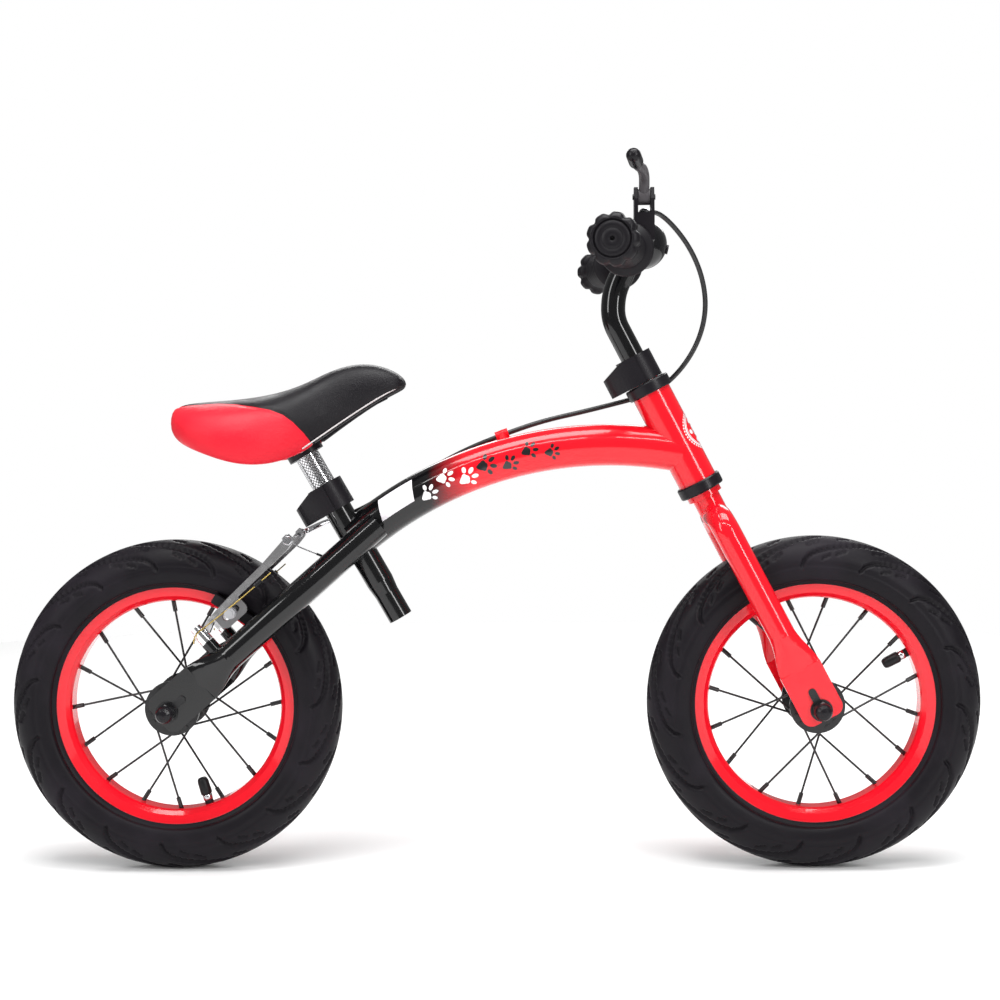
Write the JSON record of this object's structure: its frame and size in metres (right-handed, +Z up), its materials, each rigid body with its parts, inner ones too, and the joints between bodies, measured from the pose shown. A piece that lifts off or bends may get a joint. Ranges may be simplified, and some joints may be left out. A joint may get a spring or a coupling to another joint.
{
  "type": "balance bike",
  "caption": "Child's balance bike with a curved main tube, straight forks, wire-spoked pneumatic wheels, padded saddle, hand-operated rear rim brake and bell.",
  "frame": {"origin": "on the floor midway between the two axles, in the bike's middle plane", "axes": "+X forwards, +Y to the rider's left, +Z up"},
  "size_m": [0.8908, 0.3712, 0.6371],
  "materials": {
    "black_paint": "gloss",
    "red_paint": "gloss",
    "tyre": "matte",
    "rubber": "matte",
    "chrome": "polished",
    "steel": "satin",
    "black_steel": "satin",
    "black_plastic": "matte",
    "red_plastic": "gloss",
    "cover": "semi-gloss",
    "cable": "satin",
    "bell": "gloss",
    "grey_plastic": "satin"
  },
  "bodies": {
    "frame": {"main_tube": "black_paint", "head_tube": "red_paint", "seat_tube": "black_paint", "right_stay": "black_paint", "left_stay": "black_paint", "brake_bosses": "black_paint", "brake_pivot_bolts": "chrome", "upper_cup": "black_plastic", "lower_cup": "black_plastic", "seat_clamp_collar": "black_plastic", "seat_clamp_pin": "steel", "rear_cable": "cable", "front_cable": "cable", "cable_clip": "red_plastic", "rear_axle": "steel", "rear_axle_nuts": "black_steel", "rear_nut_caps": "black_plastic"},
    "fork": {"fork_steerer": "red_paint", "right_fork_leg": "red_paint", "left_fork_leg": "red_paint", "headset_bearings": "steel", "bar_clamp_collar": "black_plastic", "bar_clamp_pin": "steel", "front_axle": "steel", "front_axle_nuts": "black_steel", "front_nut_caps": "black_plastic"},
    "handlebar": {"handlebar_post": "black_paint", "handlebar": "black_paint", "right_grip": "rubber", "left_grip": "rubber", "brake_lever_body": "black_plastic", "brake_lever_pin": "steel", "barrel_adjuster": "chrome", "bell_base": "black_plastic", "bell_dome": "bell"},
    "saddle": {"seat_post": "chrome", "saddle_base": "black_plastic", "saddle_pad": "cover", "saddle_bolt": "steel"},
    "rear_wheel": {"rear_rim": "red_paint", "rear_tyre": "tyre", "rear_inner_tube": "rubber", "rear_hub": "black_steel", "rear_spokes": "black_steel"},
    "front_wheel": {"front_rim": "red_paint", "front_tyre": "tyre", "front_inner_tube": "rubber", "front_hub": "black_steel", "front_spokes": "black_steel"},
    "seat_clamp_lever": {"seat_clamp_lever": "black_plastic"},
    "bar_clamp_lever": {"bar_clamp_lever": "black_plastic"},
    "brake_lever": {"brake_lever_blade": "grey_plastic"},
    "bell_lever": {"bell_lever": "black_plastic"},
    "right_brake_arm": {"right_brake_arm": "chrome", "right_brake_pad": "rubber", "brake_wire": "steel"},
    "left_brake_arm": {"left_brake_arm": "chrome", "left_brake_pad": "rubber", "cable_noodle": "chrome"}
  },
  "joints": [
    {"name": "steering", "type": "hinge", "parent": "frame", "child": "fork", "pos_m": [0.18761, 0, 0.35581], "axis": [-0.4602, 0, 0.8878], "range_deg": [-75, 75], "deforming": ["front_cable"]},
    {"name": "handlebar_height", "type": "slide", "parent": "fork", "child": "handlebar", "axis": [-0.4602, 0, 0.8878], "range_m": [-0.01, 0.045], "deforming": ["front_cable"]},
    {"name": "seat_height", "type": "slide", "parent": "frame", "child": "saddle", "axis": [-0.4924, 0, 0.8704], "range_m": [-0.025, 0.035]},
    {"name": "rear_wheel_spin", "type": "hinge", "parent": "frame", "child": "rear_wheel", "pos_m": [-0.293, 0, 0.1525], "axis": [0, 1, 0], "continuous": true},
    {"name": "front_wheel_spin", "type": "hinge", "parent": "fork", "child": "front_wheel", "pos_m": [0.293, 0, 0.1525], "axis": [0, 1, 0], "continuous": true},
    {"name": "seat_clamp_opening", "type": "hinge", "parent": "frame", "child": "seat_clamp_lever", "pos_m": [-0.14059, 0.0214, 0.33298], "axis": [0.4924, 0, -0.8704], "range_deg": [0, 100]},
    {"name": "bar_clamp_opening", "type": "hinge", "parent": "fork", "child": "bar_clamp_lever", "pos_m": [0.14231, 0.0214, 0.44755], "axis": [0.4602, 0, -0.8878], "range_deg": [0, 100]},
    {"name": "brake_squeeze", "type": "hinge", "parent": "handlebar", "child": "brake_lever", "pos_m": [0.13582, -0.07, 0.606], "axis": [1, 0, 0], "range_deg": [0, 20], "stiffness_Nm_per_rad": 0.3, "springref_deg": -5.73, "deforming": ["brake_wire", "rear_cable"]},
    {"name": "right_brake_pivot", "type": "hinge", "parent": "frame", "child": "right_brake_arm", "pos_m": [-0.2412, -0.045, 0.19808], "axis": [-0.6605, 0, 0.7508], "range_deg": [0, 2.5], "deforming": ["brake_wire"]},
    {"name": "left_brake_pivot", "type": "hinge", "parent": "frame", "child": "left_brake_arm", "pos_m": [-0.2412, 0.045, 0.19808], "axis": [0.6605, 0, -0.7508], "range_deg": [0, 2.5], "deforming": ["rear_cable"]},
    {"name": "bell_ring", "type": "hinge", "parent": "handlebar", "child": "bell_lever", "pos_m": [0.13978, 0.06, 0.58631], "axis": [0.9781, 0, -0.208], "range_deg": [0, 20], "stiffness_Nm_per_rad": 0.002, "springref_deg": -5.73}
  ],
  "couplings": [
    {"joint": "right_brake_pivot", "follows": "brake_squeeze", "ratio": 0.125},
    {"joint": "left_brake_pivot", "follows": "brake_squeeze", "ratio": 0.125}
  ]
}
